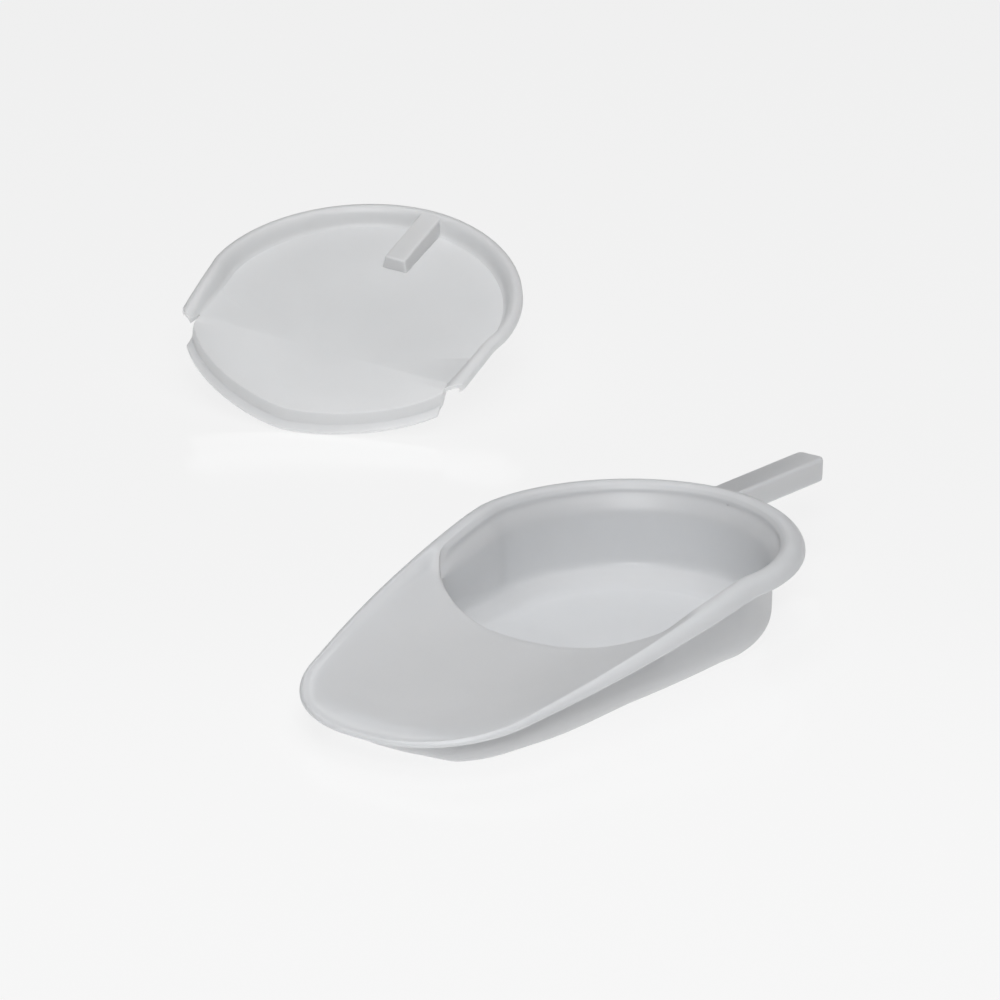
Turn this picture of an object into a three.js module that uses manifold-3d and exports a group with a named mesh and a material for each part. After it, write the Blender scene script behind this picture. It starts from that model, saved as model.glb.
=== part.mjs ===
// A slipper bedpan of moulded polypropylene and its lift-off lid.
// Millimetres, +Z up. The origin is on the floor under the middle of the flat base, the low seat end
// points to -Y and the handle to +Y. The lid stands beside the pan, tilted, with its front lip on the floor.
import * as THREE from 'three';
import { mergeVertices } from 'three/addons/utils/BufferGeometryUtils.js';
import Module from 'manifold-3d';

const wasm = await Module();
wasm.setup();

// ---- driving dimensions ----
// plan of the pan's rim
const TIP_Y = -210;
const KINK_Y = 67; // the rim is level behind this line and falls towards the tip in front of it
const WIDEST_Y = 85;
const REAR_Y = 209;
const TIP_HALF_WIDTH = 78.5;
const TIP_CORNER_R = 82;
const KINK_HALF_WIDTH = 118;
const WIDEST_HALF_WIDTH = 120;
const SIDE_BOW = 5.5;
const REAR_ROUNDNESS = 1.93; // superellipse exponent of the rear half

// heights
const RIM_HEIGHT = 68;
const RIM_SLOPE = 0.1634;
const WALL = 2.8;

// rim section at full size; it shrinks to TIP_RIM_SCALE at the tip
const TIP_RIM_SCALE = 0.12;
const CREST_INSET = 9.4;
// how far the outer wall stands in from the rim's outline: y, inset
const WALL_INSETS = [[-210, 25], [-184, 15], [-111, 14.2], [-20, 21.6], [209, 21.8]];
const BOTTOM_R_TIP = 17;
const BOTTOM_R_REAR = 19.5;

// opening and seat deck
const OPENING_Y = 24;
const OPENING_LENGTH = 58;
const OPENING_ROUNDNESS = 1.72;
const DECK_DISH = 0.106; // how much the middle of the deck sinks below the rim for each mm behind the tip
const DECK_DISH_POWER = 2.5;
const DECK_DROP = 3.6; // how far the deck's sides lie below the rim's crest
const EDGE_INSET_FRONT = 13.5;
const EDGE_INSET = 12.4;
const EDGE_DROP = 0.45;
const CORNER_Y = -2; // the deck's edge rises into the rim between these two lines
const CORNER_END_Y = 22;

// handle
const HANDLE_END_Y = 311.5;
const HANDLE_START_Y = 184;
const HANDLE_WIDTH = 22;
const HANDLE_THICKNESS = 17.3;
const HANDLE_END_TOP = 60.6;
const HANDLE_DROOP = 0.05;
const HANDLE_EDGE_R = 2.4;
const HANDLE_CORNER_R = 5;

// lid, as it lies on the pan
const LID_SKIN = 2.5;
const LID_CREASE_Y = 24.5;
const LID_PLATE_Z = 58; // top of the level rear plate
const LID_FRONT_SLOPE = 0.23;
const LID_RIM_INSET = 1.6;
const LID_PLATE_INSET = 14.5;
const LID_FRONT_HALF_WIDTH = 103.5;
const LID_FRONT_LENGTH = 59.4;
const LID_FRONT_ROUNDNESS = 1.6;
const LID_STEP_OUT = 1.6;
const LID_LIP_WIDTH = 5.6;
const LID_STEP_DROP = 9.4;
const LID_LIP_DROP = 1.4;
// plan corners, right-hand side: where the rear rim and the front lip end at the notch between them
const RIM_END = [[101, 24.5], [102.5, 14.5], [107.5, 16.5], [116, 26.5], [200, 120]];
const LIP_END = [[101, 24.5], [100.5, 12], [102, 3.5], [118, -60], [118, -120]];
const GRIP_TOP_WIDTH = 16;
const GRIP_FOOT_WIDTH = 20;
const GRIP_LENGTH = 64;
const GRIP_REAR_INSET = 5;
const GRIP_FOOT_REAR_INSET = 14.5;
const GRIP_TOP_FRONT = 67.4;
const GRIP_TOP_REAR = 70.2;

// where the lid stands
const LID_YAW = 0.15;
const LID_PITCH = 0.243;
const LID_ROLL = 0.118;
const LID_X = -441;
const LID_Y = 305;

const STATIONS = 72;

// ---- plan outlines ----
const lerp = (a, b, t) => a + (b - a) * t;
const clamp01 = (t) => Math.min(1, Math.max(0, t));
const smooth = (t) => {
  const c = clamp01(t);
  return c * c * (3 - 2 * c);
};
const signedPower = (v, p) => Math.sign(v) * Math.abs(v) ** p;

// One half of the rim's outer outline, from the tip to the rear, x >= 0.
function halfOutline() {
  const tip = new THREE.Vector2(0, TIP_Y);
  const corner = new THREE.Vector2(TIP_HALF_WIDTH, TIP_Y);
  const kink = new THREE.Vector2(KINK_HALF_WIDTH, KINK_Y);
  const widest = new THREE.Vector2(WIDEST_HALF_WIDTH, WIDEST_Y);
  const toTip = tip.clone().sub(corner).normalize();
  const toKink = kink.clone().sub(corner).normalize();
  const angle = Math.acos(toTip.dot(toKink));
  const reach = TIP_CORNER_R / Math.tan(angle / 2);
  const start = corner.clone().addScaledVector(toTip, reach);
  const end = corner.clone().addScaledVector(toKink, reach);
  const bisector = toTip.clone().add(toKink).normalize();
  const centre = corner.clone().addScaledVector(bisector, TIP_CORNER_R / Math.sin(angle / 2));
  const from = start.clone().sub(centre).angle() - 2 * Math.PI;
  const to = end.clone().sub(centre).angle();
  const points = [];
  for (let i = 0; i < 8; i++) points.push(tip.clone().lerp(start, i / 8));
  const sweep = ((to - from + Math.PI) % (2 * Math.PI)) - Math.PI;
  for (let i = 0; i <= 60; i++) {
    const a = from + (sweep * i) / 60;
    const around = new THREE.Vector2(Math.cos(a), Math.sin(a));
    points.push(around.multiplyScalar(TIP_CORNER_R).add(centre));
  }
  const outward = new THREE.Vector2(toKink.y, -toKink.x);
  for (let i = 1; i <= 80; i++) {
    const s = i / 80;
    points.push(end.clone().lerp(kink, s).addScaledVector(outward, SIDE_BOW * 4 * s * (1 - s)));
  }
  const arrive = kink.clone().sub(end).addScaledVector(outward, -4 * SIDE_BOW).normalize();
  const span = widest.distanceTo(kink);
  for (let i = 1; i <= 20; i++) {
    const s = i / 20;
    const p = kink.clone().multiplyScalar(2 * s ** 3 - 3 * s ** 2 + 1);
    p.addScaledVector(arrive, (s ** 3 - 2 * s ** 2 + s) * span);
    p.addScaledVector(widest, -2 * s ** 3 + 3 * s ** 2);
    p.y += (s ** 3 - s ** 2) * span;
    points.push(p);
  }
  for (let i = 1; i <= 90; i++) {
    const a = (Math.PI / 2) * (i / 90);
    const x = WIDEST_HALF_WIDTH * Math.cos(a) ** (2 / REAR_ROUNDNESS);
    const y = WIDEST_Y + (REAR_Y - WIDEST_Y) * Math.sin(a) ** (2 / REAR_ROUNDNESS);
    points.push(new THREE.Vector2(i === 90 ? 0 : x, y));
  }
  return points;
}

const HALF = halfOutline();

// The closed outline, counter-clockwise from the tip, with the outward normal of each point.
const OUTLINE = (() => {
  const right = HALF;
  const left = HALF.slice(1, -1).map((p) => new THREE.Vector2(-p.x, p.y)).reverse();
  let points = [...right, ...left];
  // each point moves to the mean of its neighbours, which takes the slight kinks out between the curves
  for (let pass = 0; pass < 2; pass++) {
    points = points.map((_, i) => {
      const mean = new THREE.Vector2();
      for (let k = -3; k <= 3; k++) mean.add(points[(i + k + points.length) % points.length]);
      return mean.divideScalar(7);
    });
  }
  return points.map((point, i) => {
    const before = points[(i + points.length - 1) % points.length];
    const after = points[(i + 1) % points.length];
    const along = after.clone().sub(before).normalize();
    return { point, normal: new THREE.Vector2(along.y, -along.x) };
  });
})();

// 0 at the tip, 1 at the kink and behind it.
const behindTip = (y) => clamp01((y - TIP_Y) / (KINK_Y - TIP_Y));
const rimScale = (y) => lerp(TIP_RIM_SCALE, 1, behindTip(y));
const crestHeight = (y) => RIM_HEIGHT - RIM_SLOPE * Math.max(0, KINK_Y - y);
const wallInset = (y) => {
  let inset = WALL_INSETS[0][1];
  for (let i = 1; i < WALL_INSETS.length; i++) {
    const [startY, startInset] = WALL_INSETS[i - 1];
    const [endY, endInset] = WALL_INSETS[i];
    inset += (endInset - startInset) * smooth((y - startY) / (endY - startY));
  }
  return inset;
};
const bottomRadius = (y) => lerp(BOTTOM_R_TIP, BOTTOM_R_REAR, behindTip(y));

// A closed 3D curve: the outline moved in by inset(y), at height z(y).
function offsetCurve(inset, z) {
  return OUTLINE.map(({ point, normal }) => {
    const moved = point.clone().addScaledVector(normal, -inset(point.y));
    return new THREE.Vector3(moved.x, moved.y, z(point.y, moved.y));
  });
}

// The point where the ray from the centre at this angle meets a closed curve that goes once round the centre.
function onRay(curve, centre, angle) {
  const dx = Math.cos(angle);
  const dy = Math.sin(angle);
  let best = null;
  for (let i = 0; i < curve.length; i++) {
    const a = curve[i];
    const b = curve[(i + 1) % curve.length];
    const sideA = dx * (a.y - centre.y) - dy * (a.x - centre.x);
    const sideB = dx * (b.y - centre.y) - dy * (b.x - centre.x);
    if (sideA > 0 === sideB > 0) continue;
    const hit = a.clone().lerp(b, sideA / (sideA - sideB));
    const reach = (hit.x - centre.x) * dx + (hit.y - centre.y) * dy;
    if (reach > 0 && (!best || reach > best.reach)) best = { reach, hit };
  }
  return best.hit;
}

// Ray angles that step evenly along a closed curve, the same on both sides of the middle line.
function evenAngles(curve, centre, count) {
  const lengths = [0];
  for (let i = 0; i < curve.length; i++) {
    lengths.push(lengths[i] + curve[i].distanceTo(curve[(i + 1) % curve.length]));
  }
  const total = lengths[curve.length];
  const angles = [];
  for (let k = 0; k < count; k++) {
    const at = (total * k) / count;
    let i = 0;
    while (lengths[i + 1] <= at) i++;
    const share = (at - lengths[i]) / (lengths[i + 1] - lengths[i]);
    const p = curve[i].clone().lerp(curve[(i + 1) % curve.length], share);
    angles.push(Math.atan2(p.y - centre.y, p.x - centre.x));
  }
  return angles;
}

// A closed solid from a stack of rings with the same number of points, capped by a fan at each end.
function solidFromRings(rings, firstCentre, lastCentre) {
  const n = rings[0].length;
  const vertices = [firstCentre, ...rings.flat(), lastCentre];
  const at = (ring, i) => 1 + ring * n + (i % n);
  const last = vertices.length - 1;
  const triangles = [];
  for (let i = 0; i < n; i++) {
    triangles.push(0, at(0, i + 1), at(0, i));
    triangles.push(last, at(rings.length - 1, i), at(rings.length - 1, i + 1));
    for (let r = 0; r + 1 < rings.length; r++) {
      triangles.push(at(r, i), at(r, i + 1), at(r + 1, i + 1));
      triangles.push(at(r, i), at(r + 1, i + 1), at(r + 1, i));
    }
  }
  return new wasm.Manifold(
    new wasm.Mesh({
      numProp: 3,
      vertProperties: new Float32Array(vertices.flatMap((v) => [v.x, v.y, v.z])),
      triVerts: new Uint32Array(triangles),
    }),
  );
}

function solidFromGeometry(geometry) {
  const bare = geometry.clone();
  bare.deleteAttribute('normal');
  bare.deleteAttribute('uv');
  const merged = mergeVertices(bare, 1e-4);
  return new wasm.Manifold(
    new wasm.Mesh({
      numProp: 3,
      vertProperties: new Float32Array(merged.attributes.position.array),
      triVerts: new Uint32Array(merged.index.array),
    }),
  );
}

function meshOf(solid, name, material) {
  const { vertProperties, triVerts, numProp } = solid.getMesh();
  const positions = new Float32Array((vertProperties.length / numProp) * 3);
  for (let i = 0; i < vertProperties.length / numProp; i++) {
    positions.set(vertProperties.subarray(i * numProp, i * numProp + 3), i * 3);
  }
  const geometry = new THREE.BufferGeometry();
  geometry.setAttribute('position', new THREE.BufferAttribute(positions, 3));
  geometry.setIndex(new THREE.BufferAttribute(new Uint32Array(triVerts), 1));
  geometry.computeVertexNormals();
  const mesh = new THREE.Mesh(geometry, material);
  mesh.name = name;
  return mesh;
}

// ---- the seat deck ----
const crestCurve = offsetCurve(
  (y) => CREST_INSET * rimScale(y) + 0.6,
  (_, y) => crestHeight(y),
);

// Half the distance between the two rim crests at this y.
function crestHalfWidth(y) {
  let widest = 1;
  for (let i = 0; i + 1 < crestCurve.length; i++) {
    const a = crestCurve[i];
    const b = crestCurve[i + 1];
    if (a.x <= 0 || b.x <= 0 || a.y > y === b.y > y) continue;
    widest = Math.max(widest, lerp(a.x, b.x, (y - a.y) / (b.y - a.y)));
  }
  return widest;
}

// Top of the deck: a shallow trough between the two sloping rims, deepest along the middle line.
// It rolls down from the rim's crest over the first few millimetres away from it.
function deckHeight(x, y, fromCrest) {
  const across = clamp01(Math.abs(x) / crestHalfWidth(y));
  const dish = DECK_DISH * Math.max(0, y - TIP_Y - 2);
  const shoulder = (1 - Math.cos(Math.PI * clamp01(fromCrest / (9 * rimScale(y) + 1)))) / 2;
  return crestHeight(y) - DECK_DROP * rimScale(y) * shoulder - dish * (1 - across ** DECK_DISH_POWER);
}

// The bowl's mouth: the deck's sharp curved edge in front, and the inside of the rim's crest behind.
const openingCurve = (() => {
  const inset = (y) => lerp(EDGE_INSET_FRONT, EDGE_INSET, smooth((y - OPENING_Y) / 60));
  const rim = offsetCurve(inset, () => 0);
  const rear = rim.filter((p) => p.y > OPENING_Y);
  const start = rear.reduce((best, p) => (p.x > 0 && p.y < best.y ? p : best), new THREE.Vector3(0, 1e9, 0));
  const steps = 96;
  const front = [];
  for (let i = 0; i <= steps; i++) {
    const a = Math.PI + (Math.PI * i) / steps;
    const x = start.x * signedPower(Math.cos(a), 2 / OPENING_ROUNDNESS);
    const y = OPENING_Y + OPENING_LENGTH * signedPower(Math.sin(a), 2 / OPENING_ROUNDNESS);
    front.push(new THREE.Vector3(x, y, 0));
  }
  const right = rear.filter((p) => p.x >= 0).sort((a, b) => a.y - b.y);
  const left = right.filter((p) => p.x > 1e-6).map((p) => new THREE.Vector3(-p.x, p.y, 0)).reverse();
  return [...front, ...right, ...left];
})();

// ---- the pan ----
function buildPan() {
  const centre = new THREE.Vector3(0, 10, 0);
  const angles = evenAngles(offsetCurve(() => 0, () => 0), centre, STATIONS);
  const ring = (inset, z) => {
    const curve = offsetCurve(inset, z);
    return angles.map((a) => onRay(curve, centre, a));
  };
  // a ring of the rim's section: inset and drop below the crest are skin + size x rimScale
  const rimRing = (insetSkin, insetSize, dropSkin, dropSize) =>
    ring(
      (y) => insetSkin + insetSize * rimScale(y),
      (y, at) => crestHeight(at) - dropSkin - dropSize * rimScale(y),
    );

  const rings = [];
  // base and outer bottom rounding
  for (const a of [0, 25, 50, 75].map(THREE.MathUtils.degToRad)) {
    rings.push(
      ring(
        (y) => wallInset(y) + bottomRadius(y) * (1 - Math.sin(a)),
        (y) => bottomRadius(y) * (1 - Math.cos(a)),
      ),
    );
  }
  // outer wall, up under the rim and out to the turned-down skirt: share of the wall's inset, drop
  rings.push(ring((y) => wallInset(y), (y) => bottomRadius(y)));
  const underRim = [
    [0.97, 22],
    [0.78, 16.6],
    [0.55, 12],
    [0.46, 6],
    [0.39, 1.2],
    [0.27, 0.2],
    [0.1, 1.9],
    [0, 6],
  ];
  for (const [share, drop] of underRim) {
    rings.push(
      ring(
        (y) => lerp(WALL, wallInset(y), share),
        (y, at) => crestHeight(at) - WALL - drop * rimScale(y),
      ),
    );
  }
  rings.push(rimRing(WALL * 0.9, 0, 2, 8.8));
  // the rolled top of the rim
  rings.push(rimRing(0, 0, 0.9, 9.5));
  rings.push(rimRing(0, 0, 0.5, 8.5));
  rings.push(rimRing(0.1, 1.2, 0.2, 4.6));
  rings.push(rimRing(0.2, 4, 0.1, 1.6));
  const crest = ring(
    (y) => CREST_INSET * rimScale(y) + 0.6,
    (_, y) => crestHeight(y),
  );
  rings.push(crest);

  // deck, from the crest to the mouth; behind the kink this is the first few mm inside the crest
  const mouth = angles.map((a) => onRay(openingCurve, centre, a));
  const rearness = mouth.map((p) => smooth((p.y - CORNER_Y) / (CORNER_END_Y - CORNER_Y)));
  for (const share of [0.06, 0.16, 0.33, 0.55, 0.8, 1]) {
    rings.push(
      crest.map((c, i) => {
        const p = c.clone().lerp(mouth[i], share);
        const inside = crestHeight(p.y) - EDGE_DROP * share ** 2;
        p.z = lerp(deckHeight(p.x, p.y, p.distanceTo(c)), inside, rearness[i]);
        return p;
      }),
    );
  }

  // below the mouth: back under the deck in front, down the inside of the rim and the wall behind
  const innerInset = (y) => wallInset(y) + WALL;
  const innerWall = ring(innerInset, (y) => bottomRadius(y));
  const flank = [
    [14.6, 1.7],
    [16.4, 4],
    [17.3, 7.2],
    [20.6, 12.4],
    [23.2, 18.4],
    [24.4, 27],
  ].map(([inset, drop]) => ring(() => inset, (_, y) => crestHeight(y) - drop));
  const outShares = [0.01, 0.3, 0.6, 0.93, 1, 1];
  const downShares = [0, 0, 0, 0.06, 0.35, 0.7];
  outShares.forEach((out, k) => {
    rings.push(
      mouth.map((m, i) => {
        const front = m.clone().lerp(innerWall[i], out);
        const under = deckHeight(front.x, front.y, 99) - WALL;
        front.z = lerp(under, innerWall[i].z, downShares[k]);
        return front.lerp(flank[k][i], rearness[i]);
      }),
    );
  });
  rings.push(innerWall);
  // the wall's foot and the shallow dish of the floor: shares of the bottom rounding, in from the wall and up
  const dish = [
    [0.03, 0.68],
    [0.1, 0.5],
    [0.27, 0.36],
    [0.52, 0.2],
    [0.8, 0.07],
    [1.1, 0.01],
    [1.28, 0],
  ];
  for (const [inward, up] of dish) {
    rings.push(
      ring(
        (y) => innerInset(y) + bottomRadius(y) * inward,
        (y) => WALL + bottomRadius(y) * up,
      ),
    );
  }
  const shell = solidFromRings(rings, new THREE.Vector3(0, 10, 0), new THREE.Vector3(0, 10, WALL));

  // what the handle must stay out of: the bowl inside the rim's flank
  const crestAbove = crest.map((c) => c.clone().setZ(RIM_HEIGHT + 20));
  const bowl = solidFromRings(
    [...flank.reverse(), crest, crestAbove],
    new THREE.Vector3(0, 10, RIM_HEIGHT - 31),
    new THREE.Vector3(0, 10, RIM_HEIGHT + 20),
  );
  return shell.add(buildHandle().subtract(bowl));
}

// A bar with rounded edges, its end corners rounded in plan.
function buildHandle() {
  const half = HANDLE_WIDTH / 2 - HANDLE_EDGE_R;
  const end = HANDLE_END_Y - HANDLE_EDGE_R;
  const r = HANDLE_CORNER_R - HANDLE_EDGE_R;
  const plan = new THREE.Shape();
  plan.moveTo(-half, HANDLE_START_Y);
  plan.lineTo(half, HANDLE_START_Y);
  plan.lineTo(half, end - r);
  plan.absarc(half - r, end - r, r, 0, Math.PI / 2, false);
  plan.lineTo(-half + r, end);
  plan.absarc(-half + r, end - r, r, Math.PI / 2, Math.PI, false);
  plan.closePath();
  const bar = new THREE.ExtrudeGeometry(plan, {
    depth: HANDLE_THICKNESS - 2 * HANDLE_EDGE_R,
    bevelEnabled: true,
    bevelThickness: HANDLE_EDGE_R,
    bevelSize: HANDLE_EDGE_R,
    bevelSegments: 2,
    curveSegments: 4,
  });
  bar.translate(0, -HANDLE_END_Y, HANDLE_EDGE_R - HANDLE_THICKNESS);
  bar.rotateX(-Math.atan(HANDLE_DROOP));
  bar.translate(0, HANDLE_END_Y, HANDLE_END_TOP);
  return solidFromGeometry(bar);
}

// ---- the lid, where it lies on the pan ----
// Rear half: a level plate with a flank up to a rounded rim that follows the pan's rim.
function lidRear() {
  const centre = new THREE.Vector3(0, LID_CREASE_Y, 0);
  const angles = evenAngles(offsetCurve(() => LID_RIM_INSET, () => 0), centre, STATIONS);
  const under = (y) => crestHeight(y) + 0.4;
  const over = (y) => under(y) + LID_SKIN;
  // a ring of the section: height is a drop below the rim's top, or a share of the way down to the plate
  const ring = ([inset, drop, share], top, plate) => {
    const curve = offsetCurve(
      () => inset,
      (_, y) => lerp(top(y) - drop, plate, share),
    );
    return angles.map((a) => onRay(curve, centre, a));
  };
  const below = [
    [LID_PLATE_INSET + 1.2, 0, 1],
    [LID_PLATE_INSET - 1.8, 0, 0.8],
    [11, 0, 0.42],
    [9, 0, 0.12],
    [6.4, 0, 0],
    [3.6, 1.6, 0],
    [LID_RIM_INSET + 2.3, 4, 0],
    [LID_RIM_INSET + 1.4, 4.6, 0],
  ];
  const above = [
    [LID_RIM_INSET, 6.4, 0],
    [LID_RIM_INSET + 0.3, 4.2, 0],
    [2.6, 1.5, 0],
    [6.4, 0, 0],
    [9.4, 0, 0.08],
    [11.8, 0, 0.33],
    [LID_PLATE_INSET - 0.7, 0, 0.82],
    [LID_PLATE_INSET + 1.6, 0, 1],
  ];
  const rings = [
    ...below.map((row) => ring(row, under, LID_PLATE_Z - LID_SKIN)),
    ...above.map((row) => ring(row, over, LID_PLATE_Z)),
  ];
  return solidFromRings(
    rings,
    new THREE.Vector3(0, LID_CREASE_Y, LID_PLATE_Z - LID_SKIN),
    new THREE.Vector3(0, LID_CREASE_Y, LID_PLATE_Z),
  );
}

// Front half: a plate that slopes down from the crease, and a step down to a lip that lies on the deck.
function lidFront() {
  const count = STATIONS;
  const plateZ = (y) => LID_PLATE_Z - LID_FRONT_SLOPE * (LID_CREASE_Y - y);
  const ring = (grow, drop) => {
    const points = [];
    for (let i = 0; i < count; i++) {
      const a = (2 * Math.PI * i) / count;
      const x = (LID_FRONT_HALF_WIDTH + grow) * signedPower(Math.cos(a), 2 / LID_FRONT_ROUNDNESS);
      const y = LID_CREASE_Y + (LID_FRONT_LENGTH + grow) * signedPower(Math.sin(a), 2 / LID_FRONT_ROUNDNESS);
      points.push(new THREE.Vector3(x, y, plateZ(y) - drop));
    }
    return points;
  };
  const outer = LID_STEP_OUT + LID_LIP_WIDTH;
  const rings = [
    ring(-LID_SKIN, LID_SKIN),
    ring(LID_STEP_OUT - LID_SKIN, LID_STEP_DROP + LID_SKIN),
    ring(outer - 0.4, LID_STEP_DROP + LID_LIP_DROP + LID_SKIN),
    ring(outer, LID_STEP_DROP + LID_LIP_DROP + LID_SKIN * 0.5),
    ring(outer - 0.5, LID_STEP_DROP + LID_LIP_DROP),
    ring(LID_STEP_OUT + 1.2, LID_STEP_DROP),
    ring(LID_STEP_OUT, LID_STEP_DROP - 1),
    ring(0.3, 0.8),
    ring(-0.6, 0),
  ];
  return solidFromRings(
    rings,
    new THREE.Vector3(0, LID_CREASE_Y, LID_PLATE_Z - LID_SKIN),
    new THREE.Vector3(0, LID_CREASE_Y, LID_PLATE_Z),
  );
}

// The grip: a bar with drafted sides from the rear rim forward over the recessed plate.
function lidGrip() {
  const rear = REAR_Y - GRIP_REAR_INSET;
  const front = rear - GRIP_LENGTH;
  const foot = LID_PLATE_Z - 1;
  const draft = (GRIP_FOOT_WIDTH - GRIP_TOP_WIDTH) / 2;
  const section = (width, from, to, frontZ, rearZ) => [
    new THREE.Vector3(-width / 2, from, frontZ),
    new THREE.Vector3(width / 2, from, frontZ),
    new THREE.Vector3(width / 2, to, rearZ),
    new THREE.Vector3(-width / 2, to, rearZ),
  ];
  const rings = [
    section(GRIP_FOOT_WIDTH, front - draft * 0.5, REAR_Y - GRIP_FOOT_REAR_INSET, foot, foot),
    section(GRIP_TOP_WIDTH + 1, front, rear, GRIP_TOP_FRONT - 1, GRIP_TOP_REAR - 1),
    section(GRIP_TOP_WIDTH - 1, front + 1, rear, GRIP_TOP_FRONT, GRIP_TOP_REAR),
  ];
  const middle = rear - GRIP_LENGTH / 2;
  return solidFromRings(
    rings,
    new THREE.Vector3(0, middle, foot),
    new THREE.Vector3(0, middle, (GRIP_TOP_FRONT + GRIP_TOP_REAR) / 2),
  );
}

// A solid over a plan that is the same on both sides, from its right-hand corners; farY closes it.
function mirroredPrism(corners, farY) {
  const right = [...corners, [corners.at(-1)[0], farY]];
  const left = right.map(([x, y]) => [-x, y]).reverse();
  const plan = new THREE.Shape([...right, ...left].map(([x, y]) => new THREE.Vector2(x, y)));
  const prism = new THREE.ExtrudeGeometry(plan, { depth: 120, bevelEnabled: false });
  return solidFromGeometry(prism);
}

function buildLid() {
  const rear = lidRear().intersect(mirroredPrism(RIM_END, REAR_Y + 50));
  const front = lidFront().intersect(mirroredPrism(LIP_END, TIP_Y));
  return rear.add(front).add(lidGrip());
}

// ---- assembly ----
const polypropylene = new THREE.MeshStandardMaterial({ color: 0xc8cacc, roughness: 0.38, metalness: 0 });
const lidPolypropylene = new THREE.MeshStandardMaterial({ color: 0xd2d3d4, roughness: 0.38, metalness: 0 });

const bedpan = new THREE.Group();
bedpan.name = 'bedpan';
bedpan.add(meshOf(buildPan(), 'pan', polypropylene));

const lid = meshOf(buildLid(), 'lid', lidPolypropylene);
const pivot = new THREE.Vector3(0, KINK_Y, RIM_HEIGHT - 12.5);
lid.geometry.translate(-pivot.x, -pivot.y, -pivot.z);
const lidStand = new THREE.Group();
lidStand.rotation.set(LID_PITCH, LID_ROLL, LID_YAW, 'ZXY');
lidStand.updateMatrix();
const tilted = lid.geometry.clone().applyMatrix4(lidStand.matrix);
tilted.computeBoundingBox();
lidStand.position.set(pivot.x + LID_X, pivot.y + LID_Y, -tilted.boundingBox.min.z);
lidStand.add(lid);
bedpan.add(lidStand);

export default bedpan;
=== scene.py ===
"""A slipper bedpan and its lid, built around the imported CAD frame.

The pan and the lid are worked out in millimetres; the table top, the camera's place and the lights in metres.
"""

import math

import bmesh
import bpy
import numpy as np
from mathutils import Matrix, Vector


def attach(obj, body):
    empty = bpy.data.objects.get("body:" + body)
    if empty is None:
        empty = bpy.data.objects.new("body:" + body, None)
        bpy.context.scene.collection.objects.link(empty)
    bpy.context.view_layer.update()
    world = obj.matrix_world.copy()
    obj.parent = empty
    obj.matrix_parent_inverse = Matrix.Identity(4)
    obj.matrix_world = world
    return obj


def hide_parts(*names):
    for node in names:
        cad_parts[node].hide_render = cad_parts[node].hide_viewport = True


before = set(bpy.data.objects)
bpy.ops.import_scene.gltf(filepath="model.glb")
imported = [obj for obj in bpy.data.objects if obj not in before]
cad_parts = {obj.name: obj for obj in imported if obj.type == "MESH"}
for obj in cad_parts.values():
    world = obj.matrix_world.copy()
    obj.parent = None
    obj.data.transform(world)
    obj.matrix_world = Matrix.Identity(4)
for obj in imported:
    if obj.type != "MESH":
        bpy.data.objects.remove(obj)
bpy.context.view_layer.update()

MM = 0.001

# ---- the pan's plan and section, as in the CAD part ----
TIP_Y, KINK_Y, WIDEST_Y, REAR_Y = -210.0, 67.0, 85.0, 209.0
TIP_HALF_WIDTH, TIP_CORNER_R = 78.5, 82.0
KINK_HALF_WIDTH, WIDEST_HALF_WIDTH = 118.0, 120.0
SIDE_BOW, REAR_ROUNDNESS = 5.5, 1.93
RIM_HEIGHT, RIM_SLOPE, WALL = 68.0, 0.1634, 2.8
TIP_RIM_SCALE = 0.12
WALL_INSETS = ((-210, 25), (-184, 15), (-111, 14.2), (-20, 21.6), (209, 21.8))
BOTTOM_R_TIP, BOTTOM_R_REAR = 17.0, 19.5
CREST_INSET = 9.4
OPENING_Y, OPENING_LENGTH, OPENING_ROUNDNESS = 24.0, 58.0, 1.72
DECK_DISH, DECK_DISH_POWER, DECK_DROP = 0.106, 2.5, 3.6
EDGE_INSET_FRONT, EDGE_INSET, EDGE_DROP = 13.5, 12.4, 0.45
CORNER_Y, CORNER_END_Y = -2.0, 22.0
KINK_SOFTNESS = 9.0
OUTLINE_REACH, OUTLINE_PASSES = 6, 2

# ---- the rim's section, the deck's shoulder and the mouth ----
PAN_CENTRE = (0.0, 10.0)
CREST_SKIN, ROLL_DROP, SKIRT_DROP = 0.6, 8.4, 8.9
SKIRT_EDGE_R = WALL * 0.45
SKIRT_EDGE_DROP, SKIRT_EDGE_LEAN, SKIRT_EDGE_BULGE, SKIRT_EDGE_SQUASH = 0.9, 0.9, 0.8, 0.8
SHOULDER_WIDTH, SHOULDER_SKIN, SHOULDER_SHARE = 9.0, 1.0, 0.24
DISH_START = 2.0
MOUTH_BLEND, MOUTH_TURN, MOUTH_SPREAD = 60.0, 1.3, 1.6
BOWL_TOOL_RISE = 20.0

# ---- handle ----
HANDLE_END_Y, HANDLE_START_Y = 311.5, 184.0
HANDLE_WIDTH, HANDLE_THICKNESS = 22.0, 17.3
HANDLE_END_TOP, HANDLE_DROOP = 60.6, 0.05
HANDLE_EDGE_R, HANDLE_CORNER_R, HANDLE_CRISP_DEGREES = 2.4, 5.0, 60.0

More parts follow.
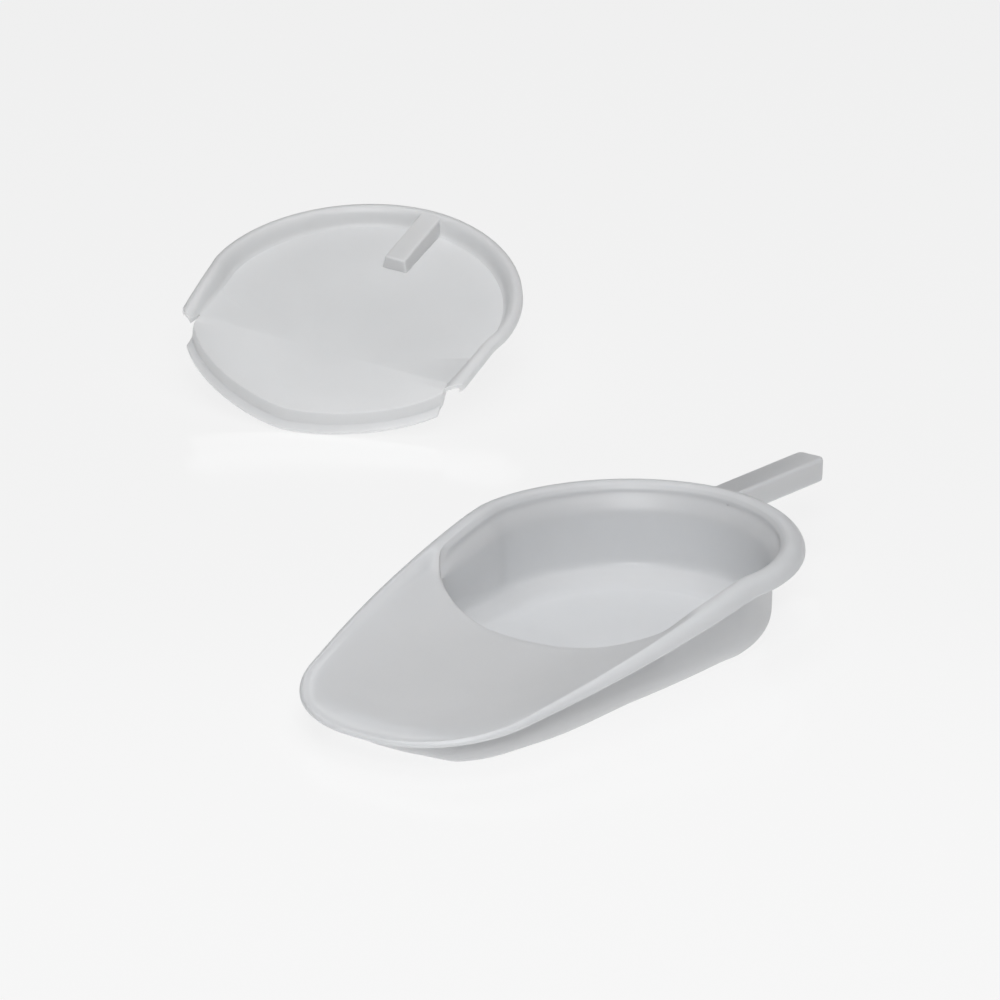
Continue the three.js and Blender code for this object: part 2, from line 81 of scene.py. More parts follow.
# ---- lid ----
LID_SKIN, LID_CREASE_Y, LID_PLATE_Z, LID_FRONT_SLOPE = 2.5, 24.5, 58.0, 0.23
LID_RIM_INSET, LID_PLATE_INSET, LID_RIM_LIFT = 1.6, 14.5, 0.4
LID_FRONT_HALF_WIDTH, LID_FRONT_LENGTH, LID_FRONT_ROUNDNESS = 103.5, 59.4, 1.6
LID_STEP_OUT, LID_LIP_WIDTH, LID_STEP_DROP, LID_LIP_DROP = 1.6, 5.6, 9.4, 1.4
RIM_END = [(101, 24.5), (102.5, 14.5), (107.5, 16.5), (116, 26.5), (200, 120)]
LIP_END = [(101, 24.5), (100.5, 12), (102, 3.5), (118, -60), (118, -120)]
GRIP_TOP_WIDTH, GRIP_FOOT_WIDTH, GRIP_LENGTH, GRIP_REAR_INSET = 16.0, 20.0, 64.0, 5.0
GRIP_TOP_FRONT, GRIP_TOP_REAR, GRIP_FOOT_REAR_INSET = 67.4, 70.2, 14.5
GRIP_EDGE_R, GRIP_SINK = 1.3, 1.0
LID_YAW, LID_PITCH, LID_ROLL, LID_X, LID_Y = 0.15, 0.243, 0.118, -441.0, 305.0
LID_PIVOT_DROP = 12.5
PRISM_HEIGHT, PRISM_REACH = 120.0, 50.0

# ---- how finely the shapes are drawn ----
STATIONS = 320
TIP_STEPS, CORNER_STEPS, SIDE_STEPS, KINK_STEPS, REAR_STEPS, MOUTH_STEPS = 12, 120, 160, 40, 240, 140
SHARP_DEGREES = 38.0
WELD_METRES = 2e-6

# ---- colours ----
PAN_COLOUR, LID_COLOUR = (0.66, 0.667, 0.679), (0.70, 0.704, 0.71)
FLOW_MARK_SHADE = 0.965


# ---- small helpers ----
def lerp(a, b, t):
    return a + (b - a) * t


def smooth(t):
    t = np.clip(t, 0, 1)
    return t * t * (3 - 2 * t)


def signed_power(v, p):
    return np.sign(v) * np.abs(v) ** p


def refine(points, steps):
    """Catmull-Rom curve through rows of numbers, with this many steps from each row to the next."""
    p = np.asarray(points, float)
    p = np.vstack([2 * p[0] - p[1], p, 2 * p[-1] - p[-2]])
    rows = []
    for i in range(1, len(p) - 2):
        for k in range(steps):
            t = k / steps
            rows.append(
                0.5
                * (
                    2 * p[i]
                    + (p[i + 1] - p[i - 1]) * t
                    + (2 * p[i - 1] - 5 * p[i] + 4 * p[i + 1] - p[i + 2]) * t**2
                    + (3 * p[i] - p[i - 1] - 3 * p[i + 1] + p[i + 2]) * t**3
                )
            )
    rows.append(p[-2])
    return np.array(rows)


def half_outline():
    """The rim's outer outline from the tip to the rear, x >= 0."""
    tip, corner = np.array([0, TIP_Y]), np.array([TIP_HALF_WIDTH, TIP_Y])
    kink, widest = np.array([KINK_HALF_WIDTH, KINK_Y]), np.array([WIDEST_HALF_WIDTH, WIDEST_Y])
    to_tip = np.array([-1.0, 0.0])
    to_kink = (kink - corner) / np.linalg.norm(kink - corner)
    half_angle = math.acos(to_tip @ to_kink) / 2
    reach = TIP_CORNER_R / math.tan(half_angle)
    start, end = corner + to_tip * reach, corner + to_kink * reach
    bisector = (to_tip + to_kink) / np.linalg.norm(to_tip + to_kink)
    centre = corner + bisector * TIP_CORNER_R / math.sin(half_angle)
    a0 = math.atan2(*(start - centre)[::-1])
    a1 = math.atan2(*(end - centre)[::-1])
    s = np.linspace(0, 1, TIP_STEPS)[:-1, None]
    rows = [tip * (1 - s) + start * s]
    a = np.linspace(a0, a1, CORNER_STEPS)
    rows.append(centre + TIP_CORNER_R * np.stack([np.cos(a), np.sin(a)], 1))
    outward = np.array([to_kink[1], -to_kink[0]])
    s = np.linspace(0, 1, SIDE_STEPS)[1:, None]
    rows.append(end * (1 - s) + kink * s + outward * SIDE_BOW * 4 * s * (1 - s))
    arrive = kink - end - 4 * SIDE_BOW * outward
    arrive /= np.linalg.norm(arrive)
    span = np.linalg.norm(widest - kink)
    s = np.linspace(0, 1, KINK_STEPS)[1:, None]
    up = np.array([0.0, 1.0])
    rows.append(
        kink * (2 * s**3 - 3 * s**2 + 1)
        + arrive * (s**3 - 2 * s**2 + s) * span
        + widest * (-2 * s**3 + 3 * s**2)
        + up * (s**3 - s**2) * span
    )
    a = np.linspace(0, math.pi / 2, REAR_STEPS)[1:]
    x = WIDEST_HALF_WIDTH * np.abs(np.cos(a)) ** (2 / REAR_ROUNDNESS)
    x[-1] = 0
    y = WIDEST_Y + (REAR_Y - WIDEST_Y) * np.sin(a) ** (2 / REAR_ROUNDNESS)
    rows.append(np.stack([x, y], 1))
    return np.vstack(rows)


def softened(curve, reach, passes):
    """A closed curve whose points move to the mean of their neighbours, without its slight kinks."""
    for _ in range(passes):
        curve = sum(np.roll(curve, k, 0) for k in range(-reach, reach + 1)) / (2 * reach + 1)
    return curve


HALF = half_outline()
OUTLINE = softened(np.vstack([HALF, (HALF[1:-1] * [-1, 1])[::-1]]), OUTLINE_REACH, OUTLINE_PASSES)
ALONG = np.roll(OUTLINE, -1, 0) - np.roll(OUTLINE, 1, 0)
ALONG /= np.linalg.norm(ALONG, axis=1)[:, None]
NORMAL = np.stack([ALONG[:, 1], -ALONG[:, 0]], 1)


def behind_tip(y):
    return np.clip((y - TIP_Y) / (KINK_Y - TIP_Y), 0, 1)


def rim_scale(y):
    return lerp(TIP_RIM_SCALE, 1, behind_tip(y))


def crest_height(y):
    ahead = KINK_Y - y
    eased = (ahead + np.sqrt(ahead**2 + KINK_SOFTNESS**2)) / 2
    correction = KINK_SOFTNESS**2 / 4 / (KINK_SOFTNESS + np.abs(ahead))
    return RIM_HEIGHT - RIM_SLOPE * (eased - correction)


def wall_inset(y):
    inset = WALL_INSETS[0][1]
    for (start_y, start), (end_y, end) in zip(WALL_INSETS, WALL_INSETS[1:]):
        inset = inset + (end - start) * smooth((y - start_y) / (end_y - start_y))
    return inset


def bottom_radius(y):
    return lerp(BOTTOM_R_TIP, BOTTOM_R_REAR, behind_tip(y))


def offset_curve(inset, height):
    """The outline moved in by inset(y), at height(y of the outline, y of the moved point)."""
    y = OUTLINE[:, 1]
    moved = OUTLINE - NORMAL * np.broadcast_to(inset(y), y.shape)[:, None]
    z = np.broadcast_to(height(y, moved[:, 1]), y.shape)
    return np.column_stack([moved, z])


def on_rays(curve, centre, angles):
    """Where rays from the centre meet a closed curve that starts straight in front of it."""
    a = np.unwrap(np.arctan2(curve[:, 1] - centre[1], curve[:, 0] - centre[0]))
    a = a - 2 * math.pi * np.round((a[0] + math.pi / 2) / (2 * math.pi))
    a = np.maximum.accumulate(a) + np.arange(len(a)) * 1e-12
    a = np.append(a, a[0] + 2 * math.pi)
    closed = np.vstack([curve, curve[:1]])
    return np.stack([np.interp(angles, a, closed[:, k]) for k in range(3)], 1)


def even_angles(curve, centre, count):
    """Ray angles, from straight in front and round, that step evenly along a closed curve."""
    closed = np.vstack([curve, curve[:1]])[:, :2]
    length = np.append(0, np.cumsum(np.linalg.norm(np.diff(closed, axis=0), axis=1)))
    at = length[-1] * np.arange(count) / count
    x, y = (np.interp(at, length, closed[:, k]) for k in (0, 1))
    a = np.unwrap(np.arctan2(y - centre[1], x - centre[0]))
    return a - 2 * math.pi * np.round((a[0] + math.pi / 2) / (2 * math.pi))


def linked(name, data):
    """A new object with this data, in the scene."""
    obj = bpy.data.objects.new(name, data)
    bpy.context.scene.collection.objects.link(obj)
    return obj


def from_bmesh(name, bm):
    """A new object in the scene from a bmesh, which is freed."""
    mesh = bpy.data.meshes.new(name)
    bm.to_mesh(mesh)
    bm.free()
    return linked(name, mesh)


def round_edges(bm, edges, radius, segments):
    bmesh.ops.bevel(bm, geom=edges, offset=radius, segments=segments, profile=0.5, affect="EDGES")


def loft(name, rings, first_z=None, last_z=None, cap_shares=(0.7, 0.4)):
    """One closed mesh from a stack of rings of points in millimetres.

    Each end is closed with rings that shrink to a middle point, at first_z or last_z where that is given.
    """

    def shrunk(ring, z):
        middle = np.array([0.0, ring[:, 1].mean(), ring[:, 2].mean() if z is None else z])
        return [middle + (ring - middle) * s for s in cap_shares], middle

    head, first = shrunk(rings[0], first_z)
    tail, last = shrunk(rings[-1], last_z)
    stack = head[::-1] + list(rings) + tail
    n = len(stack[0])
    points = np.vstack([first[None], *stack, last[None]]) * MM
    faces = []
    top = 1 + (len(stack) - 1) * n
    for i in range(n):
        j = (i + 1) % n
        faces.append((0, 1 + j, 1 + i))
        faces.append((len(points) - 1, top + i, top + j))
        for r in range(len(stack) - 1):
            base = 1 + r * n
            faces.append((base + i, base + j, base + n + j, base + n + i))
    mesh = bpy.data.meshes.new(name)
    mesh.from_pydata(points.tolist(), [], faces)
    mesh.update()
    return linked(name, mesh)


def boolean(target, other, operation):
    """Applies a boolean to target with other, and removes other."""
    modifier = target.modifiers.new("bool", "BOOLEAN")
    modifier.operation, modifier.object, modifier.solver = operation, other, "EXACT"
    depsgraph = bpy.context.evaluated_depsgraph_get()
    mesh = bpy.data.meshes.new_from_object(target.evaluated_get(depsgraph))
    target.modifiers.clear()
    old = target.data
    target.data = mesh
    mesh.name = target.name
    bpy.data.meshes.remove(old)
    bpy.data.meshes.remove(other.data)
    return target


def shade(obj):
    """Smooth shading, with sharp edges kept crisp."""
    bm = bmesh.new()
    bm.from_mesh(obj.data)
    bmesh.ops.remove_doubles(bm, verts=bm.verts, dist=WELD_METRES)
    limit = math.radians(SHARP_DEGREES)
    for edge in bm.edges:
        edge.smooth = edge.calc_face_angle(0) < limit
    for face in bm.faces:
        face.smooth = True
    bm.to_mesh(obj.data)
    bm.free()


# ---- the pan ----
RIM_CREST = offset_curve(lambda y: CREST_INSET * rim_scale(y) + CREST_SKIN, lambda _, y: crest_height(y))
CREST_RIGHT = RIM_CREST[RIM_CREST[:, 0] > 0]
CREST_RIGHT = CREST_RIGHT[np.argsort(CREST_RIGHT[:, 1])]


def dish_height(x, y):
    """How far the middle of the deck sinks below the line between the rims."""
    half = np.maximum(np.interp(y, CREST_RIGHT[:, 1], CREST_RIGHT[:, 0]), 1)
    across = np.clip(np.abs(x) / half, 0, 1)
    return DECK_DISH * np.maximum(0, y - TIP_Y - DISH_START) * (1 - across**DECK_DISH_POWER)


def opening_curve():
    """The bowl's mouth in plan, from its foremost point: the deck's edge, then the inside of the rim."""

    def edge_inset(y):
        return lerp(EDGE_INSET_FRONT, EDGE_INSET, smooth((y - OPENING_Y) / MOUTH_BLEND))

    rim = offset_curve(edge_inset, lambda *_: 0.0)
    right = rim[(rim[:, 1] > OPENING_Y) & (rim[:, 0] >= -1e-9)]
    right = right[np.argsort(right[:, 1])]
    a = np.linspace(-math.pi / 2, 0, MOUTH_STEPS)
    x = right[0, 0] * signed_power(np.cos(a), 2 / OPENING_ROUNDNESS)
    y = OPENING_Y + OPENING_LENGTH * signed_power(np.sin(a), 2 / OPENING_ROUNDNESS)
    x[0] = 0
    half = np.vstack([np.stack([x, y, x * 0], 1), right])
    return np.vstack([half, (half[1:-1] * [-1, 1, 1])[::-1]])


def build_pan():
    angles = even_angles(OUTLINE, PAN_CENTRE, STATIONS)

    def ring(inset, height):
        return on_rays(offset_curve(inset, height), PAN_CENTRE, angles)

    def rim_ring(inset_skin, inset_size, drop_skin, drop_size):
        """A ring whose inset and drop have a fixed part and one that shrinks with the rim."""
        return ring(
            lambda y: inset_skin + inset_size * rim_scale(y),
            lambda y, at: crest_height(at) - drop_skin - drop_size * rim_scale(y),
        )

    # the rounding from the floor's underside to the foot of the wall
    rings = []
    for a in np.radians(np.linspace(0, 90, 13)):
        rings.append(
            ring(
                lambda y: wall_inset(y) + bottom_radius(y) * (1 - math.sin(a)),
                lambda y, _: bottom_radius(y) * (1 - math.cos(a)),
            )
        )
    # up the wall, round the hollow under the rim and down the inside of the skirt:
    # share of the way in to the wall, and drop below the rim's underside where the rim is full-sized
    under_rim = [
        (0.97, 22),
        (0.78, 16.6),
        (0.55, 12),
        (0.46, 6),
        (0.39, 1.2),
        (0.27, 0.2),
        (0.1, 1.9),
        (0, 6),
    ]
    for share, drop in refine(under_rim, 4):
        rings.append(
            ring(
                lambda y: lerp(WALL, wall_inset(y), share),
                lambda y, at: crest_height(at) - WALL - drop * rim_scale(y),
            )
        )
    # the skirt's rounded lower edge, lower on its inner side
    for a in np.radians(np.linspace(0, 180, 9)):
        inset = SKIRT_EDGE_R + SKIRT_EDGE_R * math.cos(a)
        sag = SKIRT_EDGE_LEAN + math.sin(a) * SKIRT_EDGE_BULGE + math.cos(a) * SKIRT_EDGE_LEAN
        drop = SKIRT_EDGE_DROP + SKIRT_EDGE_R * sag * SKIRT_EDGE_SQUASH
        rings.append(rim_ring(inset, 0, drop, SKIRT_DROP))
    # the rolled outside of the rim, a quarter of an ellipse up to the crest
    for a in np.radians(np.linspace(0, 90, 15)):
        below, inward = 1 - math.sin(a), 1 - math.cos(a)
        rings.append(
            rim_ring(CREST_SKIN * inward, CREST_INSET * inward, CREST_SKIN * below, ROLL_DROP * below)
        )
    crest = rings[-1]

    # from the crest to the mouth: the deck in front, the inside of the rim behind
    mouth = on_rays(opening_curve(), PAN_CENTRE, angles)
    rearness = smooth((mouth[:, 1] - CORNER_Y) / (CORNER_END_Y - CORNER_Y))
    scale = rim_scale(crest[:, 1])
    width = np.linalg.norm((mouth - crest)[:, :2], axis=1)
    near_crest = np.linspace(0, SHOULDER_SHARE, 13)[1:]
    further_in = np.linspace(SHOULDER_SHARE, 1, 20)[1:]
    for share in np.concatenate([near_crest, further_in]):
        p = lerp(crest, mouth, share)
        away = width * share
        across = np.clip(away / (SHOULDER_WIDTH * scale + SHOULDER_SKIN), 0, 1)
        shoulder = (1 - np.cos(math.pi * across)) / 2
        deck = crest_height(p[:, 1]) - DECK_DROP * scale * shoulder - dish_height(p[:, 0], p[:, 1])
        inside = crest_height(p[:, 1]) - EDGE_DROP * share**2
        p[:, 2] = lerp(deck, inside, rearness)
        rings.append(p)
    mouth = rings.pop()
    outward = crest[:, :2] - mouth[:, :2]
    outward /= np.linalg.norm(outward, axis=1)[:, None]
    outward = np.column_stack([outward, np.zeros(STATIONS)])

    # round the mouth's edge, then back under the deck in front and down the rim's inside behind
    def inner_inset(y):
        return wall_inset(y) + WALL

    inner_wall = ring(inner_inset, lambda y, _: bottom_radius(y))
    # inset from the outline and drop below the crest
    flank = [
        (14.6, 1.7),
        (16.4, 4.0),
        (17.3, 7.2),
        (20.6, 12.4),
        (23.2, 18.4),
        (24.2, 27.0),
        (24.4, 36.0),
    ]
    # shares of the way out to the wall and of the way down to its foot
    under_deck = [
        (0.02, 0.0),
        (0.3, 0.0),
        (0.6, 0.0),
        (0.93, 0.06),
        (1.0, 0.35),
        (1.0, 0.7),
        (1.0, 1.0),
    ]
    half_wall = WALL / 2
    first_flank = ring(lambda y: flank[0][0], lambda _, y: crest_height(y) - flank[0][1])
    for a in np.radians(np.linspace(90, -90, 9)):
        inward, up = math.cos(a), math.sin(a)
        front = mouth + outward * half_wall * (1 - inward)
        front[:, 2] = mouth[:, 2] - half_wall + half_wall * up
        along = (1 - up) / 2
        behind = lerp(mouth, first_flank, along)
        behind[:, 2] = mouth[:, 2] - (mouth[:, 2] - first_flank[:, 2]) * along**MOUTH_TURN
        rings.append(lerp(front, behind, rearness[:, None]))
    flank_rings = []
    rows = list(zip(refine(under_deck, 5), refine(flank, 5)))
    for k, ((out, down), (inset, drop)) in enumerate(rows):
        # lower down, the change from under the deck to the rim's inside takes a longer stretch
        stretch = (CORNER_END_Y - CORNER_Y) * (1 + MOUTH_SPREAD * k / len(rows))
        change = smooth((mouth[:, 1] - CORNER_Y) / stretch)[:, None]
        front = lerp(mouth, inner_wall, min(max(out, 0.01), 1))
        deck = crest_height(front[:, 1]) - DECK_DROP * scale - dish_height(front[:, 0], front[:, 1])
        front[:, 2] = lerp(deck - WALL, inner_wall[:, 2], down)
        behind = ring(lambda y: inset, lambda _, y: crest_height(y) - drop)
        flank_rings.append(behind)
        if k > 0:
            rings.append(lerp(front, behind, change))
    # the wall's foot and the shallow dish of the floor: shares of the bottom rounding, inwards and up
    dish = [
        (0.0, 1.0),
        (0.03, 0.68),
        (0.1, 0.5),
        (0.27, 0.36),
        (0.52, 0.2),
        (0.8, 0.07),
        (1.1, 0.01),
        (1.28, 0.0),
    ]
    for inward, up in refine(dish, 5)[1:]:
        rings.append(
            ring(
                lambda y: inner_inset(y) + bottom_radius(y) * inward,
                lambda y, _: WALL + bottom_radius(y) * up,
            )
        )
    pan = loft("pan_moulding", rings, 0.0, WALL)

    # the handle, without what would reach into the bowl
    lifted = crest.copy()
    lifted[:, 2] = RIM_HEIGHT + BOWL_TOOL_RISE
    bowl = loft("bowl_tool", flank_rings[::-1] + [crest, lifted], cap_shares=())
    bar = build_handle()
    boolean(bar, bowl, "DIFFERENCE")
    boolean(pan, bar, "UNION")
    return pan


def build_handle():
    """A straight bar with rounded edges, its two end corners rounder in plan."""
    bm = bmesh.new()
    bmesh.ops.create_cube(bm, size=1)
    span = HANDLE_END_Y - HANDLE_START_Y
    for v in bm.verts:
        v.co.x *= HANDLE_WIDTH
        v.co.y = HANDLE_START_Y + (v.co.y + 0.5) * span
        v.co.z = (v.co.z - 0.5) * HANDLE_THICKNESS

    def runs_along(edge, axis):
        return abs(edge.verts[0].co[axis] - edge.verts[1].co[axis]) > 1

    upright = [e for e in bm.edges if runs_along(e, 2)]
    corners = [e for e in upright if e.verts[0].co.y > HANDLE_END_Y - 1]
    round_edges(bm, corners, HANDLE_CORNER_R, 8)
    # every crisp edge but those of the end that is inside the pan
    crisp = [e for e in bm.edges if e.calc_face_angle(0) > math.radians(HANDLE_CRISP_DEGREES)]
    sharp = [e for e in crisp if runs_along(e, 1) or min(v.co.y for v in e.verts) > HANDLE_START_Y + 1]
    round_edges(bm, sharp, HANDLE_EDGE_R, 6)
    tilt = -math.atan(HANDLE_DROOP)
    for v in bm.verts:
        y, z = v.co.y - HANDLE_END_Y, v.co.z
        v.co.y = HANDLE_END_Y + y * math.cos(tilt) - z * math.sin(tilt)
        v.co.z = HANDLE_END_TOP + y * math.sin(tilt) + z * math.cos(tilt)
        v.co *= MM
    return from_bmesh("handle", bm)


# ---- the lid ----
def lid_rear():
    """The lid's plate and rim, all the way round; build_lid cuts off its front."""
    centre = (0.0, LID_CREASE_Y)
    angles = even_angles(OUTLINE - NORMAL * LID_RIM_INSET, centre, STATIONS)

    def ring(row, lift, plate):
        inset, drop, share = row

        def height(_, y):
            return lerp(crest_height(y) + lift - drop, plate, share)

        return on_rays(offset_curve(lambda y: inset, height), centre, angles)

    # inset, drop below the pan's crest raised by the lift, share of the way from there to the plate
    under = [
        (LID_PLATE_INSET + 1.2, 0, 1),
        (LID_PLATE_INSET - 1.8, 0, 0.8),
        (11, 0, 0.42),
        (9, 0, 0.12),
        (6.4, 0, 0),
        (3.6, 1.6, 0),
        (LID_RIM_INSET + 2.3, 4, 0),
        (LID_RIM_INSET + 1.4, 4.6, 0),
    ]
    edge = [
        (LID_RIM_INSET + 1.4, 4.6, 0),
        (LID_RIM_INSET + 0.7, 4.7, 0),
        (LID_RIM_INSET + 0.2, 4.4, 0),
        (LID_RIM_INSET, 3.8, 0),
    ]
    over = [
        (LID_RIM_INSET, 6.4, 0),
        (LID_RIM_INSET + 0.3, 4.2, 0),
        (2.6, 1.5, 0),
        (6.4, 0, 0),
        (9.4, 0, 0.08),
        (11.8, 0, 0.33),
        (LID_PLATE_INSET - 0.7, 0, 0.82),
        (LID_PLATE_INSET + 1.6, 0, 1),
    ]
    low, high = LID_PLATE_Z - LID_SKIN, LID_PLATE_Z
    rings = [ring(row, LID_RIM_LIFT, low) for row in refine(under, 4)[:-1]]
    rings += [ring(row, LID_RIM_LIFT, low) for row in refine(edge, 2)[:-1]]
    rings += [ring(row, LID_RIM_LIFT + LID_SKIN, high) for row in refine(over, 5)]
    return loft("lid_rear", rings, low, high)


def lid_front():
    """The sloping plate, its step down and its lip, as a whole oval; build_lid keeps the front of it."""
    a = -math.pi / 2 + 2 * math.pi * np.arange(STATIONS) / STATIONS
    outer = LID_STEP_OUT + LID_LIP_WIDTH

    def ring(grow, drop):
        power = 2 / LID_FRONT_ROUNDNESS
        x = (LID_FRONT_HALF_WIDTH + grow) * signed_power(np.cos(a), power)
        y = LID_CREASE_Y + (LID_FRONT_LENGTH + grow) * signed_power(np.sin(a), power)
        z = LID_PLATE_Z - LID_FRONT_SLOPE * (LID_CREASE_Y - y) - drop
        return np.column_stack([x, y, z])

    lip = LID_STEP_DROP + LID_LIP_DROP
    # growth of the oval, and drop below the sloping plate
    under = [
        (-LID_SKIN - 1, LID_SKIN),
        (-LID_SKIN, LID_SKIN + 0.6),
        (LID_STEP_OUT - LID_SKIN, LID_STEP_DROP + LID_SKIN * 0.5),
        (LID_STEP_OUT - LID_SKIN + 1, LID_STEP_DROP + LID_SKIN),
        (outer - 0.8, lip + LID_SKIN),
    ]
    over = [
        (outer - 0.2, lip + LID_SKIN - 0.5),
        (outer, lip + LID_SKIN * 0.5),
        (outer - 0.2, lip + 0.5),
        (outer - 0.8, lip),
        (LID_STEP_OUT + 1.8, LID_STEP_DROP - 0.1),
        (LID_STEP_OUT + 0.5, LID_STEP_DROP - 0.7),
        (LID_STEP_OUT, LID_STEP_DROP - 1.8),
        (0.4, 1.2),
        (-0.2, 0.3),
        (-1, 0),
    ]
    rows = np.vstack([refine(under, 3), refine(over, 4)])
    rings = [ring(grow, drop) for grow, drop in rows]
    return loft("lid_front", rings, LID_PLATE_Z - LID_SKIN, LID_PLATE_Z)


def mirrored_prism(name, corners, far_y):
    """A tall solid over a plan with two like sides, from its right-hand corners; far_y closes it."""
    right = [*corners, (corners[-1][0], far_y)]
    plan = right + [(-x, y) for x, y in right[::-1]]
    bm = bmesh.new()
    low, high = (
        [bm.verts.new((x * MM, y * MM, z * MM)) for x, y in plan]
        for z in (0, PRISM_HEIGHT)
    )
    bm.faces.new(low[::-1])
    bm.faces.new(high)
    for i in range(len(plan)):
        j = (i + 1) % len(plan)
        bm.faces.new((low[i], low[j], high[j], high[i]))
    bmesh.ops.recalc_face_normals(bm, faces=bm.faces)
    return from_bmesh(name, bm)


def lid_grip():
    """A bar with drafted sides and rounded edges, from the rear rim forward."""
    rear = REAR_Y - GRIP_REAR_INSET
    draft = (GRIP_FOOT_WIDTH - GRIP_TOP_WIDTH) / 2
    foot, front = LID_PLATE_Z - GRIP_SINK, rear - GRIP_LENGTH
    bm = bmesh.new()
    bmesh.ops.create_cube(bm, size=1)
    top = [v for v in bm.verts if v.co.z > 0]
    for v in bm.verts:
        half = (GRIP_TOP_WIDTH if v in top else GRIP_FOOT_WIDTH) / 2
        at_rear = v.co.y > 0
        if at_rear:
            y = rear if v in top else REAR_Y - GRIP_FOOT_REAR_INSET
        else:
            y = front - (0 if v in top else draft * 0.5)
        z = (GRIP_TOP_REAR if at_rear else GRIP_TOP_FRONT) if v in top else foot
        v.co = Vector((math.copysign(half, v.co.x), y, z)) * MM
    sharp = [e for e in bm.edges if any(v in top for v in e.verts)]
    round_edges(bm, sharp, GRIP_EDGE_R * MM, 5)
    return from_bmesh("grip", bm)


def build_lid():
    """The whole lid, tilted and set down beside the pan with its lowest point on the table."""
    lid = boolean(lid_rear(), mirrored_prism("rim_end", RIM_END, REAR_Y + PRISM_REACH), "INTERSECT")
    front = boolean(lid_front(), mirrored_prism("lip_end", LIP_END, TIP_Y), "INTERSECT")
    boolean(lid, front, "UNION")
    boolean(lid, lid_grip(), "UNION")
    lid.name = "lid_moulding"
    pivot = Vector((0, KINK_Y, RIM_HEIGHT - LID_PIVOT_DROP)) * MM
    yaw, pitch = Matrix.Rotation(LID_YAW, 4, "Z"), Matrix.Rotation(LID_PITCH, 4, "X")
    turn = yaw @ pitch @ Matrix.Rotation(LID_ROLL, 4, "Y")
    lid.data.transform(turn @ Matrix.Translation(-pivot))
    lowest = min(v.co.z for v in lid.data.vertices)
    lid.data.transform(Matrix.Translation((LID_X * MM, (KINK_Y + LID_Y) * MM, -lowest)))
    return lid


# ---- materials ----
def moulded_plastic(name, colour, seed):
    """Satin moulded polypropylene, with faint flow marks, a fine matt grain and a slightly wavy surface."""
    material = bpy.data.materials.new(name)
    material.use_nodes = True
    nodes, links = material.node_tree.nodes, material.node_tree.links
    shader = nodes["Principled BSDF"]
    shader.inputs["IOR"].default_value = 1.49
    shader.inputs["Subsurface Weight"].default_value = 1.0
    shader.inputs["Subsurface Radius"].default_value = (0.95, 0.98, 1.0)
    shader.inputs["Subsurface Scale"].default_value = 0.005
    coords = nodes.new("ShaderNodeTexCoord")

    def noise(scale, detail, distortion=0.0):
        node = nodes.new("ShaderNodeTexNoise")
        node.noise_dimensions = "4D"
        node.inputs["W"].default_value = seed
        node.inputs["Scale"].default_value = scale
        node.inputs["Detail"].default_value = detail
        node.inputs["Distortion"].default_value = distortion
        links.new(coords.outputs["Object"], node.inputs["Vector"])
        return node

    def mapped(value, low, high, start=0.35, stop=0.65):
        node = nodes.new("ShaderNodeMapRange")
        node.inputs["From Min"].default_value = start
        node.inputs["From Max"].default_value = stop
        node.inputs["To Min"].default_value = low
        node.inputs["To Max"].default_value = high
        links.new(value, node.inputs["Value"])
        return node.outputs["Result"]

    def mix(a, b, factor):
        node = nodes.new("ShaderNodeMix")
        node.data_type = "RGBA"
        node.inputs["A"].default_value = (*a, 1)
        node.inputs["B"].default_value = (*b, 1)
        links.new(factor, node.inputs["Factor"])
        return node.outputs["Result"]

    flow = noise(scale=9, detail=4, distortion=0.6)
    darker = tuple(c * FLOW_MARK_SHADE for c in colour)
    links.new(mix(darker, colour, mapped(flow.outputs["Fac"], 0, 1)), shader.inputs["Base Color"])
    grain = noise(scale=1400, detail=2)
    patches = noise(scale=22, detail=3)
    rough = nodes.new("ShaderNodeMath")
    links.new(mapped(grain.outputs["Fac"], -0.03, 0.03), rough.inputs[0])
    links.new(mapped(patches.outputs["Fac"], 0.34, 0.42), rough.inputs[1])
    links.new(rough.outputs[0], shader.inputs["Roughness"])
    waves = noise(scale=16, detail=2)
    wavy = nodes.new("ShaderNodeBump")
    wavy.inputs["Strength"].default_value = 0.25
    wavy.inputs["Distance"].default_value = 0.0006
    links.new(waves.outputs["Fac"], wavy.inputs["Height"])
    fine = nodes.new("ShaderNodeBump")
    fine.inputs["Strength"].default_value = 0.25
    fine.inputs["Distance"].default_value = 0.00003
    links.new(grain.outputs["Fac"], fine.inputs["Height"])
    links.new(wavy.outputs["Normal"], fine.inputs["Normal"])
    links.new(fine.outputs["Normal"], shader.inputs["Normal"])
    return material


def studio_floor():
    """A pale glossy table top that glows a little, so that shadows on it stay faint."""
    mesh = bpy.data.meshes.new("floor")
    corners = [(-1, -1), (1, -1), (1, 1), (-1, 1)]
    mesh.from_pydata([(x * FLOOR_HALF, y * FLOOR_HALF, 0) for x, y in corners], [], [(0, 1, 2, 3)])
    obj = linked("floor", mesh)
    obj.location.z = FLOOR_Z
    material = bpy.data.materials.new("pale_table")
    material.use_nodes = True
    shader = material.node_tree.nodes["Principled BSDF"]
    shader.inputs["Base Color"].default_value = (0.1, 0.1, 0.1, 1)
    shader.inputs["Roughness"].default_value = 0.12
    shader.inputs["IOR"].default_value = 1.45
    shader.inputs["Specular IOR Level"].default_value = 0.06
    shader.inputs["Emission Color"].default_value = (1, 1, 1, 1)
    shader.inputs["Emission Strength"].default_value = FLOOR_GLOW
    mesh.materials.append(material)


# ---- camera and light ----
AZIMUTH, ELEVATION = math.radians(35.568), math.radians(20.01)
LENS_MM, SENSOR_MM, DISTANCE = 269.9, 36.0, 4.9156
AIM_RIGHT, AIM_UP = -0.02573, 0.11535
AIM_POINT = Vector((0, -0.01292, 0))
CLIP_END = 60

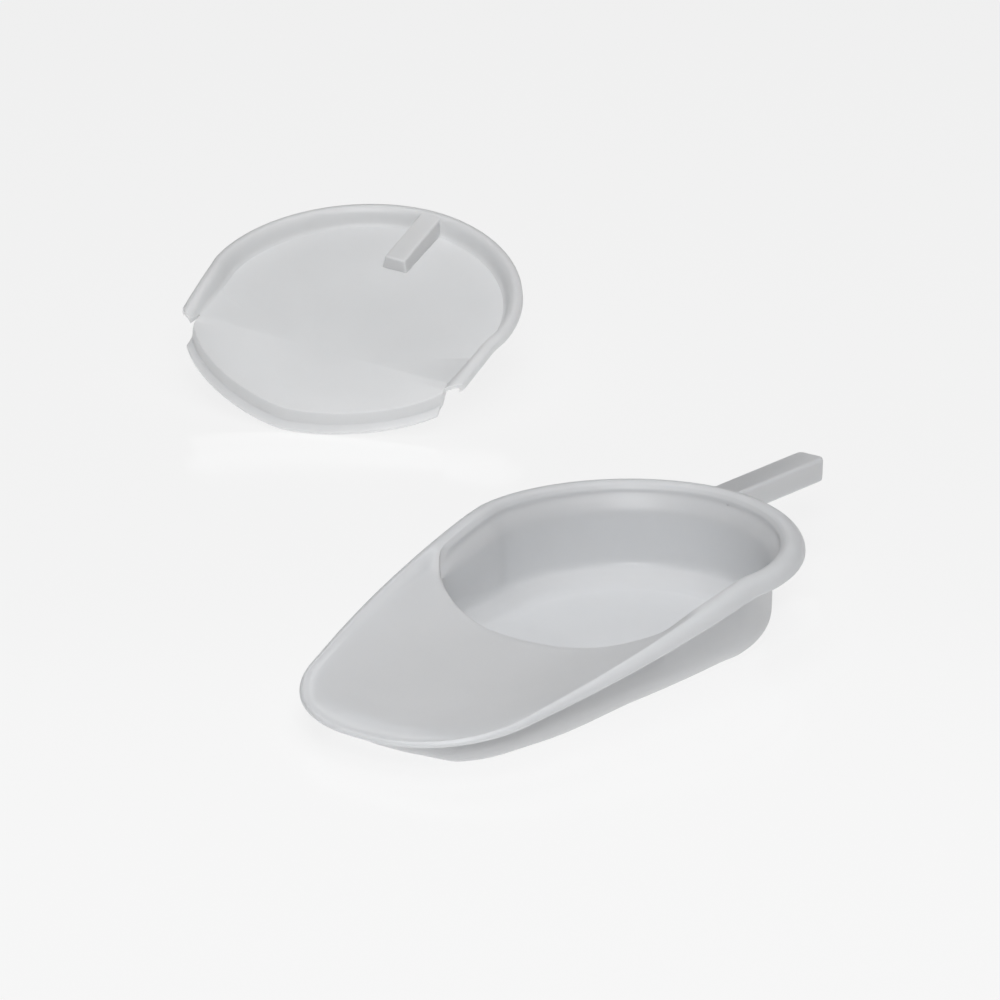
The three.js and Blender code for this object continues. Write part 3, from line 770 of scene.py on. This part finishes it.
WORLD_LIGHT = 0.03
FLOOR_GLOW = 0.82
FLOOR_HALF, FLOOR_Z = 14.0, -0.0003
LIGHT_TARGET = Vector((-0.1, 0.1, 0.03))
# degrees round the object from the camera's own side, degrees above the floor, side, distance, power
SOFTBOXES = {
    "overhead": (0, 88, 2.4, 2.6, 35),
    "front": (0, 38, 1.2, 3.4, 54),
    "front_high": (0, 62, 1.2, 3.0, 4),
    "front_right": (40, 50, 1.2, 3.0, 4),
    "rear": (180, 40, 2.0, 3.0, 5),
}


def towards(a, e):
    """A unit vector at azimuth a, which is 0 straight in front and grows to the right, and elevation e."""
    return Vector((math.sin(a) * math.cos(e), -math.cos(a) * math.cos(e), math.sin(e)))


def set_camera():
    right = Vector((math.cos(AZIMUTH), math.sin(AZIMUTH), 0))
    back = towards(AZIMUTH, ELEVATION)
    up = back.cross(right)
    data = bpy.data.cameras.new("camera")
    data.lens, data.sensor_width, data.clip_end = LENS_MM, SENSOR_MM, CLIP_END
    camera = linked("camera", data)
    camera.location = AIM_POINT + right * AIM_RIGHT + up * AIM_UP + back * DISTANCE
    camera.rotation_mode = "QUATERNION"
    camera.rotation_quaternion = Matrix((right, up, back)).transposed().to_quaternion()
    bpy.context.scene.camera = camera


def set_lights():
    world = bpy.data.worlds.new("studio")
    world.use_nodes = True
    background = world.node_tree.nodes["Background"]
    background.inputs["Color"].default_value = (1, 1, 1, 1)
    background.inputs["Strength"].default_value = WORLD_LIGHT
    bpy.context.scene.world = world
    for name, (around, above, side, distance, power) in SOFTBOXES.items():
        back = towards(AZIMUTH + math.radians(around), math.radians(above))
        data = bpy.data.lights.new(name, "AREA")
        data.shape, data.size, data.energy = "SQUARE", side, power
        lamp = linked(name, data)
        lamp.location = LIGHT_TARGET + back * distance
        lamp.rotation_mode = "QUATERNION"
        lamp.rotation_quaternion = back.to_track_quat("Z", "Y")


# ---- assembly ----
pan = build_pan()
shade(pan)
pan.data.materials.clear()
pan.data.materials.append(moulded_plastic("pan_polypropylene", PAN_COLOUR, 3.1))
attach(pan, "pan")
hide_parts("pan")

lid = build_lid()
shade(lid)
lid.data.materials.clear()
lid.data.materials.append(moulded_plastic("lid_polypropylene", LID_COLOUR, 7.4))
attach(lid, "lid")
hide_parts("lid")

studio_floor()
set_camera()
set_lights()
bpy.context.scene.view_settings.view_transform = "Standard"
